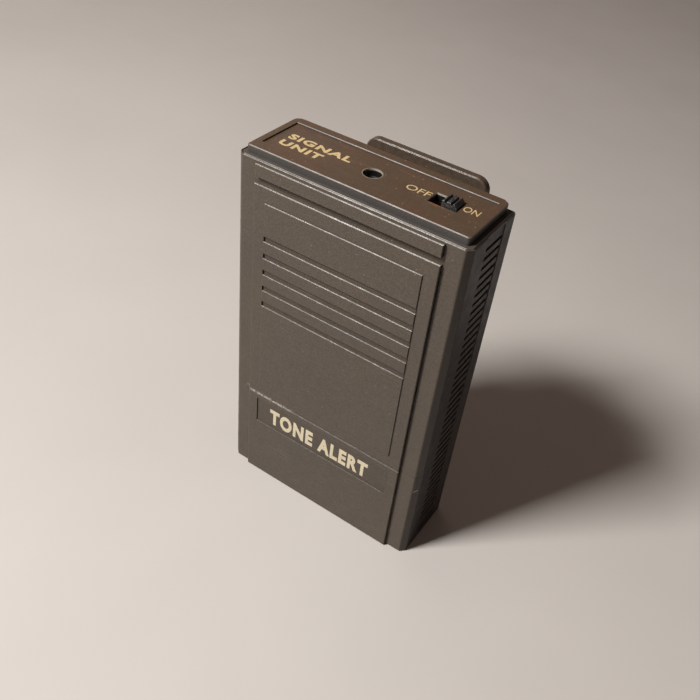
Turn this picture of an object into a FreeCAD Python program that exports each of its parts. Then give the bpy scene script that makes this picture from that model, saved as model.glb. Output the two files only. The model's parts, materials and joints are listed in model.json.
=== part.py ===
import FreeCAD, Part
import math
import os

# A pocket call receiver (pager) of about 1990, in millimetres.
# +Z is up and +Y points to the back, where the belt clip is. The origin is the centre of the flat
# bottom of the case, so the receiver stands on z = 0 and its front looks along -Y.

V = FreeCAD.Vector
X_AXIS, Y_AXIS, Z_AXIS = V(1, 0, 0), V(0, 1, 0), V(0, 0, 1)
TURN = 2 * math.pi
os.makedirs("parts", exist_ok=True)

# ---- case ----
WIDTH, DEPTH, BODY_TOP = 60.0, 20.8, 100.0
HALF_W = WIDTH / 2
FRONT, BACK = -DEPTH / 2, DEPTH / 2          # front plane of the side columns, and the back plane
SIDE_WALL, WALL, ROOF = 2.0, 1.8, 1.6
INNER_X = HALF_W - SIDE_WALL
INNER_FRONT, INNER_BACK = FRONT + WALL, BACK - WALL
FRONT_CHAMFER, COLUMN_ROUND, BACK_RADIUS = 1.4, 0.8, 0.9
SPLIT_Y = FRONT + 7.3                        # parting line between the front and rear shells
SEAM = 0.15                                  # running gap round the battery door
SOFT_EDGE = 0.25                             # softened outer edges of the mouldings
EDGE_BEVEL, FINE_BEVEL, LIP_BEVEL = 0.20, 0.15, 0.18     # crisp 45 degree breaks on raised edges

# ---- tongue and groove along the parting line ----
TONGUE_X, TONGUE_T, TONGUE_DEPTH = 28.75, 0.5, 1.2
GROOVE_T, GROOVE_DEPTH = 0.8, 1.45

# ---- raised front panel ----
PANEL_HALF, PANEL_RISE, PANEL_TOP = 24.3, 0.95, 94.7
BAND_HALF, BAND_LOW, BAND_TOP = 24.1, 96.3, 99.6
INNER_HALF, INNER_RISE = 20.9, 0.3
INNER_LOW, INNER_TOP = 34.8, 90.8
SLOT_COUNT, SLOT_LOW, SLOT_PITCH, SLOT_HEIGHT, SLOT_DEPTH = 5, 61.55, 4.75, 1.5, 0.55

# ---- battery door and its label ----
DOOR_TOP, DOOR_FOOT_GAP = 30.8, 0.15
LABEL_HALF, LABEL_LOW, LABEL_TOP, LABEL_SINK, LABEL_T = 21.4, 20.3, 28.9, 0.55, 0.3
LIP_HALF, LIP_BACK, LIP_GAP, LIP_DROP = 22.0, INNER_FRONT + 1.0, 0.2, 2.0

# ---- ribbed grips on the sides of the rear shell ----
RIB_PITCH, RIB_GROOVE, RIB_BED, RIB_DEPTH = 2.4, 1.0, 0.15, 0.6
RIB_TOP, RIB_COUNT, RIB_BACK, RIB_FOOT = 97.1, 38, FRONT + 15.4, 3.0

# ---- top cap, its plate, sound hole and switch slot ----
CAP_HALF, CAP_FRONT, CAP_BACK, CAP_TOP = 28.4, FRONT + 1.45, FRONT + 20.5, BODY_TOP + 2.0
CAP_FRONT_RADIUS, CAP_BACK_RADIUS = 0.7, 2.0
PLUG_HALF, PLUG_FRONT, PLUG_BACK, PLUG_GAP = 25.8, -7.4, 7.6, 0.15
FLANGE_INSET, FLANGE_BACK = 0.5, CAP_BACK - 0.5
FLANGE_T, FLANGE_GAP = 0.6, 0.28             # flange of the cap, let into the top of both shells
PLATE_HALF, PLATE_FRONT, PLATE_BACK, PLATE_SINK, PLATE_T = 26.65, FRONT + 4.6, FRONT + 17.9, 0.75, 0.4
PLATE_GAP = 0.15
SOUND_X, SOUND_Y, SOUND_R = -0.5, 0.0, 2.1
SLOT_X, SLOT_Y, SLOT_HALF_X, SLOT_HALF_Y = 17.75, 0.6, 3.45, 2.2

# ---- slide switch ----
KNOB_X, KNOB_Y, KNOB_TRAVEL = 3.5, 3.8, 3.0
KNOB_REST_X = SLOT_X + KNOB_TRAVEL / 2
KNOB_TOP = CAP_TOP + 0.95
FRAME_HALF_X, FRAME_HALF_Y, FRAME_LOW, FRAME_TOP, FRAME_T = 6.4, 3.3, 95.2, 99.7, 0.4

# ---- belt clip ----
CLIP_X, CLIP_HALF = 1.8, 16.7
PIVOT_Y, PIVOT_Z = BACK + 3.2, 75.0
PIN_R, BRACKET_EAR_R, CLIP_EAR_R, PIVOT_GAP = 1.0, 2.1, 1.8, 0.06
TAB_Y, TAB_T, TAB_TOP = BACK + 10.0, 2.3, 98.4
JAW_Y, JAW_T, JAW_FOOT = BACK + 5.6, 2.0, 27.0
CLIP_CORNER = 3.2
BRACKET_HALF, BRACKET_T, BRACKET_LOW, BRACKET_TOP = 10.5, 1.2, 65.5, 84.5
EAR_T, CLIP_EAR_OUT = 1.6, 8.6

# ---- case screws ----
SCREW_X, SCREW_Z = 23.5, (40.0, 88.0)
BOSS_R, SCREW_R, SCREW_HEAD_R, SCREW_HEAD_T = 2.3, 0.95, 1.9, 0.9

# ---- circuit board ----
BOARD_HALF, BOARD_LOW, BOARD_TOP, BOARD_Y, BOARD_T = 27.0, 34.5, 93.0, 0.4, 1.2
POST_X, POST_Z = 24.0, 64.0

# ---- batteries: two AA cells lying across the case ----
CELL_R, CELL_LENGTH, CELL_Y = 7.2, 50.0, 0.3
CELL_Z = (9.3, 23.9)
SHELF_LOW, SHELF_TOP = 31.4, 32.6
CONTACT_T, TAIL_TOP = 0.4, 38.0


def box(x0, x1, y0, y1, z0, z1):
    return Part.makeBox(x1 - x0, y1 - y0, z1 - z0, V(x0, y0, z0))


def wide_box(half, y0, y1, z0, z1):
    return box(-half, half, y0, y1, z0, z1)


def block(centre, size):
    return box(centre[0] - size[0] / 2, centre[0] + size[0] / 2, centre[1] - size[1] / 2,
               centre[1] + size[1] / 2, centre[2] - size[2] / 2, centre[2] + size[2] / 2)


def rod(radius, length, start, axis):
    return Part.makeCylinder(radius, length, start, axis)


def fuse(shapes):
    result = shapes[0]
    if len(shapes) > 1:
        result = result.fuse(shapes[1:])
    return result.removeSplitter()


def group(shapes):
    return Part.makeCompound(shapes)


def prism(points, lift):
    edges = [Part.LineSegment(a, b).toShape() for a, b in zip(points, points[1:] + points[:1])]
    return Part.Face(Part.Wire(edges)).extrude(lift)


def soften(shape, radius, wanted):
    edges = [edge for edge in shape.Edges if wanted(edge)]
    return shape.makeFillet(radius, edges) if edges else shape


def bevel(shape, size, wanted):
    return shape.makeChamfer(size, [edge for edge in shape.Edges if wanted(edge)])


def runs_along(edge, axis):
    if not isinstance(edge.Curve, Part.Line):
        return False
    return abs(edge.Curve.Direction.dot(axis)) > 0.999


def save(name, shape):
    shape.exportStep("parts/" + name + ".step")


# ---------------------------------------------------------------- case mouldings

def front_plan(low, high, inset=0.0, back=SPLIT_Y):
    """The column-to-column front outline with chamfered corners, moved inwards by inset."""
    chamfer = FRONT_CHAMFER - inset * (2 - math.sqrt(2))
    half, front = HALF_W - inset, FRONT + inset
    outline = [(-half, back), (-half, front + chamfer), (-half + chamfer, front),
               (half - chamfer, front), (half, front + chamfer), (half, back)]
    return prism([V(x, y, low) for x, y in outline], V(0, 0, high - low))


def rounded_columns(skin):
    """The upright edges of the front: broadly rounded at the columns, softened at the sides."""
    skin = soften(skin, COLUMN_ROUND, lambda e: e.BoundBox.YMax < FRONT + 0.01 and runs_along(e, Z_AXIS))
    return soften(skin, SOFT_EDGE, lambda e: FRONT + FRONT_CHAMFER - 0.01 < e.BoundBox.YMin < SPLIT_Y - 0.1
                  and runs_along(e, Z_AXIS))


def raised_panel(half, rise, size, low, high):
    """A raised plate on the front with bevelled outer edges."""
    face_y = FRONT - rise
    plate = wide_box(half, face_y, FRONT + 0.5, low, high)
    return bevel(plate, size, lambda e: all(abs(v.Y - face_y) < 1e-6 for v in e.Vertexes))


def panel_slots():
    """Cutters for the level slots, each with a bevelled lower edge."""
    face, half, b = FRONT - PANEL_RISE - INNER_RISE, INNER_HALF - 0.02, FINE_BEVEL
    cutters = []
    for i in range(SLOT_COUNT):
        low = SLOT_LOW + i * SLOT_PITCH
        high = low + SLOT_HEIGHT
        profile = [(face - 1, high), (face + SLOT_DEPTH, high), (face + SLOT_DEPTH, low), (face + b, low),
                   (face - b, low - 2 * b), (face - 1, low - 2 * b)]
        cutters.append(prism([V(-half, y, z) for y, z in profile], V(2 * half, 0, 0)))
    return cutters


def tongues(low, high):
    """Tongues on both side walls that reach across the parting line."""
    inner = TONGUE_X - TONGUE_T / 2
    outer = TONGUE_X + TONGUE_T / 2
    return [box(s, e, SPLIT_Y - 0.5, SPLIT_Y + TONGUE_DEPTH, low, high)
            for s, e in ((inner, outer), (-outer, -inner))]


def flange_recess():
    return front_plan(BODY_TOP - FLANGE_T, BODY_TOP + 1, FLANGE_INSET - FLANGE_GAP, FLANGE_BACK + FLANGE_GAP)


def front_shell():
    low = DOOR_TOP + SEAM
    skin = rounded_columns(front_plan(low, BODY_TOP))
    skin = bevel(skin, LIP_BEVEL, lambda e: e.BoundBox.ZMin > BODY_TOP - 0.01
                 and e.BoundBox.YMin < SPLIT_Y - 0.1)
    shell = skin.cut(wide_box(INNER_X, INNER_FRONT, SPLIT_Y + 1, low - 1, BODY_TOP - ROOF))
    opening = PLUG_HALF + PLUG_GAP
    shell = shell.cut(wide_box(opening, PLUG_FRONT - PLUG_GAP, SPLIT_Y + 1, BODY_TOP - 5, BODY_TOP + 1))
    panel = raised_panel(PANEL_HALF, PANEL_RISE, EDGE_BEVEL, low, PANEL_TOP)
    band = raised_panel(BAND_HALF, PANEL_RISE, EDGE_BEVEL, BAND_LOW, BAND_TOP)
    inner = raised_panel(INNER_HALF, PANEL_RISE + INNER_RISE, FINE_BEVEL, INNER_LOW, INNER_TOP)
    shell = fuse([shell, panel, band, inner] + tongues(low + 0.2, BODY_TOP - ROOF - 0.4))
    lip = [wide_box(LIP_HALF, INNER_FRONT - 0.1, LIP_BACK, low, low + 3),
           wide_box(LIP_HALF, INNER_FRONT + LIP_GAP, LIP_BACK, low - LIP_DROP, low + 3)]
    bosses, bores = [], []
    for x in (-SCREW_X, SCREW_X):
        for z in SCREW_Z:
            boss_length = INNER_BACK - INNER_FRONT + 0.1
            bosses.append(rod(BOSS_R, boss_length, V(x, INNER_FRONT - 0.2, z), Y_AXIS))
            bores.append(rod(SCREW_R, 12, V(x, INNER_BACK - 11, z), Y_AXIS))
    return fuse([shell.cut(panel_slots())] + lip + bosses).cut(bores + [flange_recess()])


def rear_plan(low, high):
    """The rear outline with rounded upright corners and softened top and bottom edges."""
    plan = wide_box(HALF_W, SPLIT_Y, BACK, low, high)
    plan = soften(plan, BACK_RADIUS, lambda e: runs_along(e, Z_AXIS) and e.Vertexes[0].Y > BACK - 0.1)
    return soften(plan, SOFT_EDGE, lambda e: e.BoundBox.YMax > SPLIT_Y + 0.1 and (
        e.BoundBox.ZMin > high - 0.01 or e.BoundBox.ZMax < low + 0.01))


def rib_grooves():
    """Cutters for both grips: a shallow bed, the level grooves in it and a line behind it."""
    cuts = []
    for side in (-1, 1):
        outside = side * (HALF_W + 1)
        groove, bed, line = (sorted((side * (HALF_W - depth), outside)) for depth in (RIB_DEPTH, RIB_BED, 0.3))
        cuts.append(box(*bed, SPLIT_Y - 1, RIB_BACK, RIB_FOOT, BODY_TOP + 1))
        cuts.append(box(*line, RIB_BACK, RIB_BACK + 0.3, RIB_FOOT, BODY_TOP + 1))
        for i in range(RIB_COUNT):
            top = RIB_TOP - i * RIB_PITCH
            cuts.append(box(*groove, SPLIT_Y - 1, RIB_BACK, top - RIB_GROOVE, top))
    return cuts


def rear_shell():
    shell = rear_plan(0, BODY_TOP).cut(wide_box(INNER_X, SPLIT_Y - 1, INNER_BACK, WALL, BODY_TOP - ROOF))
    opening = PLUG_HALF + PLUG_GAP
    shell = shell.cut([wide_box(opening, SPLIT_Y - 1, PLUG_BACK + PLUG_GAP, BODY_TOP - 5, BODY_TOP + 1)]
                      + rib_grooves())
    grooves = [box(min(s, e), max(s, e), SPLIT_Y - 1, SPLIT_Y + GROOVE_DEPTH, -1, BODY_TOP - ROOF - 0.2)
               for s, e in ((TONGUE_X - GROOVE_T / 2, TONGUE_X + GROOVE_T / 2),
                            (-TONGUE_X - GROOVE_T / 2, -TONGUE_X + GROOVE_T / 2))]
    floor = wide_box(INNER_X - SEAM, INNER_FRONT + SEAM, SPLIT_Y + 1, 0, WALL)
    shelf = wide_box(INNER_X - 0.1, SPLIT_Y, INNER_BACK + 0.1, SHELF_LOW, SHELF_TOP)
    shelf_front = wide_box(INNER_X - 0.2, INNER_FRONT + 1.2, SPLIT_Y + 1, SHELF_LOW, SHELF_TOP)
    posts = [rod(2.2, INNER_BACK - BOARD_Y - BOARD_T + 0.2, V(x, BOARD_Y + BOARD_T, POST_Z), Y_AXIS)
             for x in (-POST_X, POST_X)]
    pad = box(CLIP_X - 3, CLIP_X + 3, INNER_BACK - 2.5, INNER_BACK + 0.2, BRACKET_LOW, BRACKET_TOP)
    shell = fuse([shell.cut(grooves), floor, shelf, shelf_front, pad] + posts)
    cuts = [rod(0.7, 5, V(x, BOARD_Y, POST_Z), Y_AXIS) for x in (-POST_X, POST_X)]
    cuts.append(flange_recess())
    cuts.append(box(INNER_X - 3.4, INNER_X, CELL_Y - 5.6, BOARD_Y + 0.2, SHELF_LOW - 1, SHELF_TOP + 1))
    for z in clip_screw_heights():
        cuts.append(rod(0.8, 6, V(CLIP_X, BACK - 4, z), Y_AXIS))
    for x in (-SCREW_X, SCREW_X):
        for z in SCREW_Z:
            cuts.append(rod(SCREW_R + 0.15, 6, V(x, BACK - 4, z), Y_AXIS))
            cuts.append(rod(SCREW_HEAD_R + 0.15, 2, V(x, BACK - SCREW_HEAD_T - 0.1, z), Y_AXIS))
    return shell.cut(cuts)


def battery_door():
    low, high = DOOR_FOOT_GAP, DOOR_TOP
    skin = rounded_columns(front_plan(low, high))
    skin = soften(skin, SOFT_EDGE, lambda e: e.BoundBox.ZMax < low + 0.01 and e.BoundBox.YMin < SPLIT_Y - 0.1)
    shell = skin.cut(wide_box(INNER_X, INNER_FRONT, SPLIT_Y + 1, low - 1, high + 1))
    shell = shell.cut(wide_box(HALF_W + 1, SPLIT_Y - SEAM, SPLIT_Y + 1, low - 1, high + 1))
    face = FRONT - PANEL_RISE
    plate = raised_panel(PANEL_HALF, PANEL_RISE, EDGE_BEVEL, low, high)
    recess = wide_box(LABEL_HALF, face - 1, face + LABEL_SINK, LABEL_LOW, LABEL_TOP)
    door = fuse([shell, plate] + tongues(low + 0.1, high)).cut(recess)
    return bevel(door, FINE_BEVEL, lambda e: abs(e.BoundBox.ZMin - LABEL_LOW) < 1e-3
                 and abs(e.BoundBox.YMin - face) < 1e-3 and runs_along(e, X_AXIS))


def front_label_plate():
    face = FRONT - PANEL_RISE + LABEL_SINK
    plate = wide_box(LABEL_HALF - 0.1, face - LABEL_T, face, LABEL_LOW + 0.1, LABEL_TOP - 0.1)
    return soften(plate, 0.08, lambda e: all(v.Y < face - 0.1 for v in e.Vertexes))


def rounded_block(half, y0, y1, z0, z1, front_radius, back_radius):
    """A block with its four upright corners rounded, the front and back pairs differently."""
    shape = wide_box(half, y0, y1, z0, z1)
    shape = soften(shape, front_radius, lambda e: runs_along(e, Z_AXIS) and e.Vertexes[0].Y < y0 + 0.1)
    return soften(shape, back_radius, lambda e: runs_along(e, Z_AXIS) and e.Vertexes[0].Y > y1 - 0.1)


def switch_slot(clearance, low, high):
    return box(SLOT_X - SLOT_HALF_X - clearance, SLOT_X + SLOT_HALF_X + clearance,
               SLOT_Y - SLOT_HALF_Y - clearance, SLOT_Y + SLOT_HALF_Y + clearance, low, high)


def top_cap():
    cap = rounded_block(CAP_HALF, CAP_FRONT, CAP_BACK, BODY_TOP, CAP_TOP, CAP_FRONT_RADIUS, CAP_BACK_RADIUS)
    cap = bevel(cap, EDGE_BEVEL, lambda e: e.BoundBox.ZMin > CAP_TOP - 0.01)
    cap = cap.cut(wide_box(PLATE_HALF, PLATE_FRONT, PLATE_BACK, CAP_TOP - PLATE_SINK, CAP_TOP + 1))
    cap = bevel(cap, FINE_BEVEL, lambda e: e.BoundBox.ZMin > CAP_TOP - 0.01
                and abs(e.BoundBox.YMin - PLATE_BACK) < 0.01 and runs_along(e, X_AXIS))
    flange = front_plan(BODY_TOP - FLANGE_T, BODY_TOP, FLANGE_INSET, FLANGE_BACK)
    flange = bevel(flange, 0.1, lambda e: e.BoundBox.ZMin > BODY_TOP - 0.01
                   and e.BoundBox.YMin < FLANGE_BACK - 1)
    plug = wide_box(PLUG_HALF, PLUG_FRONT, PLUG_BACK, BODY_TOP - ROOF, BODY_TOP + 0.2)
    hollow = wide_box(PLUG_HALF - 1.5, PLUG_FRONT + 1.5, PLUG_BACK - 1.5, BODY_TOP - 5, BODY_TOP - 0.15)
    hole = rod(SOUND_R, 10, V(SOUND_X, SOUND_Y, BODY_TOP - 5), Z_AXIS)
    return fuse([cap, flange, plug]).cut([hollow, hole, switch_slot(0, BODY_TOP - 5, CAP_TOP + 1)])


def top_label_plate():
    low = CAP_TOP - PLATE_SINK
    front, back = PLATE_FRONT + PLATE_GAP, PLATE_BACK - PLATE_GAP
    plate = wide_box(PLATE_HALF - PLATE_GAP, front, back, low, low + PLATE_T)
    hole = rod(SOUND_R + 0.12, 10, V(SOUND_X, SOUND_Y, BODY_TOP - 5), Z_AXIS)
    return plate.cut([hole, switch_slot(0.1, low - 1, CAP_TOP)])


# ---------------------------------------------------------------- slide switch

def switch_knob():
    low = FRAME_TOP - FRAME_T - 0.1
    x0, x1 = KNOB_REST_X - KNOB_X / 2, KNOB_REST_X + KNOB_X / 2
    y0, y1 = SLOT_Y - KNOB_Y / 2, SLOT_Y + KNOB_Y / 2
    head = box(x0, x1, y0, y1, low - 1.0, KNOB_TOP)
    head = soften(head, 0.2, lambda e: e.BoundBox.ZMin > KNOB_TOP - 0.01)
    grip_cuts = []
    for i in (-1, 1):
        centre = KNOB_REST_X + i * 0.75 - 0.2
        notch = [(-0.38, 0.01), (0.38, 0.01), (0.12, -0.6), (-0.12, -0.6)]
        grip_cuts.append(prism([V(centre + x, y0 - 1, KNOB_TOP + z) for x, z in notch], V(0, KNOB_Y + 2, 0)))
    ramp = prism([V(x1 + 0.1, y0 - 1, KNOB_TOP + 0.1), V(x1 - 0.75, y0 - 1, KNOB_TOP + 0.1),
                  V(x1 + 0.1, y0 - 1, KNOB_TOP - 0.9)], V(0, KNOB_Y + 2, 0))
    carriage = box(x0 - 0.4, x1 + 0.4, SLOT_Y - 2.5, SLOT_Y + 2.5, low - 2.0, low)
    return head.cut(grip_cuts + [ramp]).fuse(carriage).removeSplitter()


def switch_frame():
    outer = box(SLOT_X - FRAME_HALF_X, SLOT_X + FRAME_HALF_X, SLOT_Y - FRAME_HALF_Y, SLOT_Y + FRAME_HALF_Y,
                FRAME_LOW, FRAME_TOP)
    outer = soften(outer, 0.4, lambda e: e.BoundBox.ZMin > FRAME_TOP - 0.01)
    t = FRAME_T
    inner = box(SLOT_X - FRAME_HALF_X + t, SLOT_X + FRAME_HALF_X - t, SLOT_Y - FRAME_HALF_Y + t,
                SLOT_Y + FRAME_HALF_Y - t, FRAME_LOW - 1, FRAME_TOP - t)
    slot = box(SLOT_X - 3.4, SLOT_X + 3.4, SLOT_Y - 2.1, SLOT_Y + 2.1, FRAME_LOW, FRAME_TOP + 1)
    return outer.cut([inner, slot])


def switch_base():
    t = FRAME_T + 0.05
    return box(SLOT_X - FRAME_HALF_X + t, SLOT_X + FRAME_HALF_X - t, SLOT_Y - FRAME_HALF_Y + t,
               SLOT_Y + FRAME_HALF_Y - t, FRAME_LOW - 0.6, FRAME_LOW + 0.9)


def switch_terminals():
    return group([block((SLOT_X + i * 3.0, BOARD_Y - 0.25, FRAME_LOW - 2.8), (1.0, 0.4, 4.3))
                  for i in (-1, 0, 1)])


# ---------------------------------------------------------------- belt clip

def clip_screw_heights():
    return (BRACKET_LOW + 3.0, BRACKET_TOP - 3.0)


def upright_plate(profile, half):
    """A closed outline in the YZ plane, drawn out sideways about the clip's centre line."""
    points = [V(CLIP_X - half, y, z) for y, z in profile]
    return prism(points, V(2 * half, 0, 0))


def clip_ear(x0, x1, radius, base_y, web):
    """A lug round the pivot, joined by a web to the plate that carries it at base_y."""
    lug = rod(radius, x1 - x0, V(x0, PIVOT_Y, PIVOT_Z), X_AXIS)
    y0, y1 = sorted((PIVOT_Y, base_y))
    return lug.fuse(box(x0, x1, y0, y1, PIVOT_Z - web, PIVOT_Z + web)).removeSplitter()


def belt_clip():
    jaw_out, tab_out = JAW_Y + JAW_T, TAB_Y + TAB_T
    profile = [(BACK + 0.45, JAW_FOOT), (jaw_out - 1.2, JAW_FOOT), (jaw_out, JAW_FOOT + 1.6),
               (jaw_out, PIVOT_Z + 3.0), (tab_out, PIVOT_Z + 10.0), (tab_out, TAB_TOP), (TAB_Y, TAB_TOP),
               (TAB_Y, PIVOT_Z + 10.8), (JAW_Y, PIVOT_Z + 4.0), (JAW_Y, JAW_FOOT + 4.6),
               (BACK + 0.45, JAW_FOOT + 1.8)]
    plate = upright_plate(profile, CLIP_HALF)
    plate = soften(plate, CLIP_CORNER, lambda e: runs_along(e, Y_AXIS) and (
        e.BoundBox.ZMin > TAB_TOP - 0.01 or e.BoundBox.ZMax < JAW_FOOT + 0.01))
    plate = bevel(plate, 0.3, lambda e: e.BoundBox.ZMin > TAB_TOP - CLIP_CORNER - 0.1
                  and (e.BoundBox.YMin > tab_out - 0.01 or e.BoundBox.YMax < TAB_Y + 0.01))
    ears = []
    for x0 in (CLIP_X - CLIP_EAR_OUT, CLIP_X + CLIP_EAR_OUT - EAR_T):
        ears.append(clip_ear(x0, x0 + EAR_T, CLIP_EAR_R, JAW_Y + 0.5, CLIP_EAR_R))
    bore = rod(PIN_R + PIVOT_GAP, 40, V(CLIP_X - 20, PIVOT_Y, PIVOT_Z), X_AXIS)
    return fuse([plate] + ears).cut(bore)


def clip_bracket():
    base = box(CLIP_X - BRACKET_HALF, CLIP_X + BRACKET_HALF, BACK, BACK + BRACKET_T, BRACKET_LOW, BRACKET_TOP)
    base = soften(base, 2.0, lambda e: runs_along(e, Y_AXIS))
    ears = []
    for x0 in (CLIP_X - BRACKET_HALF, CLIP_X + BRACKET_HALF - EAR_T):
        ears.append(clip_ear(x0, x0 + EAR_T, BRACKET_EAR_R, BACK + 0.2, 3.2))
    bores = [rod(PIN_R, 40, V(CLIP_X - 20, PIVOT_Y, PIVOT_Z), X_AXIS)]
    for z in clip_screw_heights():
        bores.append(rod(0.8, 6, V(CLIP_X, BACK - 1, z), Y_AXIS))
    return fuse([base] + ears).cut(bores)


def clip_pin():
    start = CLIP_X - BRACKET_HALF - 0.3
    pin = rod(PIN_R, 2 * BRACKET_HALF + 0.6, V(start, PIVOT_Y, PIVOT_Z), X_AXIS)
    return soften(pin, 0.2, lambda e: isinstance(e.Curve, Part.Circle))


def clip_spring():
    """A torsion spring coiled round the pin, with one leg on the bracket and one on the tab."""
    wire_r, coil_r, pitch, turns = 0.25, 1.4, 0.6, 8.5
    length = pitch * turns
    path = Part.makeHelix(pitch, length, coil_r)
    section = Part.Wire(Part.Circle(V(coil_r, 0, 0), Y_AXIS, wire_r).toShape())
    coil = Part.Wire(path.Edges).makePipeShell([section], True, False)
    coil.rotate(V(0, 0, 0), Y_AXIS, 90)
    coil.rotate(V(0, 0, 0), X_AXIS, -90)
    coil.translate(V(CLIP_X - length / 2, PIVOT_Y, PIVOT_Z))
    lead = pitch / TURN
    bracket_leg = rod(wire_r, 6, V(CLIP_X - length / 2, PIVOT_Y - coil_r, PIVOT_Z), V(-lead, 0, coil_r))
    tab_leg = rod(wire_r, 5, V(CLIP_X + length / 2, PIVOT_Y + coil_r, PIVOT_Z), V(lead, 0, coil_r))
    return group([coil, bracket_leg, tab_leg])


def clip_screws():
    screws = []
    for z in clip_screw_heights():
        head = rod(1.7, 0.6, V(CLIP_X, BACK + BRACKET_T, z), Y_AXIS)
        head = soften(head, 0.25, lambda e: e.BoundBox.YMin > BACK + BRACKET_T + 0.5)
        slot = block((CLIP_X, BACK + BRACKET_T + 0.6, z), (0.45, 0.6, 4))
        shank = rod(0.8, 5, V(CLIP_X, BACK + BRACKET_T - 5, z), Y_AXIS)
        screws.append(head.cut(slot).fuse(shank).removeSplitter())
    return group(screws)


# ---------------------------------------------------------------- screws and board

def cross_headed_screw(x, z, face, shank_length, shank_r, head_r, head_t):
    """A pan-headed screw along Y whose head's outer face lies at y = face."""
    head = rod(head_r, head_t, V(x, face - head_t, z), Y_AXIS)
    head = soften(head, 0.2, lambda e: e.BoundBox.YMin > face - 0.01)
    cross = [block((x, face, z), (0.35, 0.8, head_r * 1.2)), block((x, face, z), (head_r * 1.2, 0.8, 0.35))]
    shank = rod(shank_r, shank_length, V(x, face - head_t - shank_length, z), Y_AXIS)
    return head.cut(cross).fuse(shank).removeSplitter()


def case_screws():
    return group([cross_headed_screw(x, z, BACK - 0.1, 9.0, SCREW_R, SCREW_HEAD_R, SCREW_HEAD_T)
                  for x in (-SCREW_X, SCREW_X) for z in SCREW_Z])


def board_screws():
    screws = []
    for x in (-POST_X, POST_X):
        head = rod(1.5, 0.9, V(x, BOARD_Y - 0.9, POST_Z), Y_AXIS)
        cross = [block((x, BOARD_Y - 0.9, POST_Z), size) for size in ((0.35, 0.8, 1.9), (1.9, 0.8, 0.35))]
        shank = rod(0.7, 4.5, V(x, BOARD_Y, POST_Z), Y_AXIS)
        screws.append(head.cut(cross).fuse(shank).removeSplitter())
    return group(screws)


def circuit_board():
    board = wide_box(BOARD_HALF, BOARD_Y, BOARD_Y + BOARD_T, BOARD_LOW, BOARD_TOP)
    holes = [rod(BOSS_R + 0.2, 5, V(x, BOARD_Y - 1, z), Y_AXIS) for x in (-SCREW_X, SCREW_X) for z in SCREW_Z]
    holes += [rod(0.7, 5, V(x, BOARD_Y - 1, POST_Z), Y_AXIS) for x in (-POST_X, POST_X)]
    return board.cut(holes)


def on_board(x, z, size_x, size_z, height, gap=0.0):
    """A box that stands on the front side of the board."""
    return block((x, BOARD_Y - gap - height / 2, z), (size_x, height, size_z))


def can_on_board(x, z, radius, height):
    can = rod(radius, height, V(x, BOARD_Y, z), V(0, -1, 0))
    return soften(can, 0.3, lambda e: e.BoundBox.YMax < BOARD_Y - height + 0.01)


ANTENNA_Y, ANTENNA_Z, ANTENNA_R, ANTENNA_LENGTH = -4.4, 47.0, 3.0, 42.0
HOLDER_X = 16.5
CHIPS = ((-9.0, 66.5, 22.8, 6.4, 9), (-10.5, 55.8, 19.4, 6.4, 8))     # x, z, length, width, pins a side
CHIP_HEIGHT, CHIP_STAND, PIN_PITCH = 3.2, 0.5, 2.54


def antenna_rod():
    shape = rod(ANTENNA_R, ANTENNA_LENGTH, V(-ANTENNA_LENGTH / 2, ANTENNA_Y, ANTENNA_Z), X_AXIS)
    return soften(shape, 0.3, lambda e: isinstance(e.Curve, Part.Circle))


def antenna_coil():
    outer = rod(ANTENNA_R + 0.9, 18, V(-9, ANTENNA_Y, ANTENNA_Z), X_AXIS)
    return outer.cut(rod(ANTENNA_R, 18, V(-9, ANTENNA_Y, ANTENNA_Z), X_AXIS))


def antenna_holders():
    holders = []
    for x in (-HOLDER_X, HOLDER_X):
        foot = box(x - 1.5, x + 1.5, ANTENNA_Y - 3.6, BOARD_Y, ANTENNA_Z - 3.8, ANTENNA_Z + 3.8)
        holders.append(foot.cut(rod(ANTENNA_R, 10, V(x - 5, ANTENNA_Y, ANTENNA_Z), X_AXIS)))
    return group(holders)


def receiver_chips():
    chips = []
    for x, z, length, width, _pins in CHIPS:
        body = on_board(x, z, length, width, CHIP_HEIGHT, CHIP_STAND)
        notch = rod(0.9, 1, V(x - length / 2, BOARD_Y - CHIP_STAND - CHIP_HEIGHT, z), Y_AXIS)
        chips.append(body.cut(notch))
    return group(chips)


def chip_leads():
    leads = []
    for x, z, _length, width, pins in CHIPS:
        for i in range(pins):
            px = x + (i - (pins - 1) / 2) * PIN_PITCH
            for side in (-1, 1):
                leads.append(on_board(px, z + side * (width / 2 + 0.2), 0.9, 0.4, 2.2))
    return group(leads)


def tuning_coils():
    cans = []
    for x in (-19.0, -10.5, -2.0):
        can = soften(on_board(x, 80.0, 7.0, 7.0, 7.4), 0.4,
                     lambda e: e.BoundBox.YMax < BOARD_Y - 7.39 or runs_along(e, Y_AXIS))
        cans.append(can.cut(rod(1.3, 1.2, V(x, BOARD_Y - 7.4, 80.0), Y_AXIS)))
    return group(cans)


def quartz_crystal():
    can = on_board(10.5, 80.0, 11.0, 4.6, 7.0, 0.3)
    return soften(can, 1.9, lambda e: runs_along(e, Y_AXIS))


def ceramic_filter():
    return soften(on_board(8.5, 73.0, 7.0, 3.2, 6.5), 0.4, lambda e: runs_along(e, Y_AXIS))


def electrolytic_capacitors():
    return group([can_on_board(x, z, 2.5, 7.2) for x, z in ((13.5, 66.5), (19.5, 66.5), (19.0, 57.0))])


def disc_capacitors():
    return group([rod(1.9, 1.4, V(x - 0.7, BOARD_Y - 1.9, z), X_AXIS)
                  for x, z in ((-24.0, 76.5), (-23.0, 72.5), (3.5, 88.0), (16.0, 75.0))])


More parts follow.
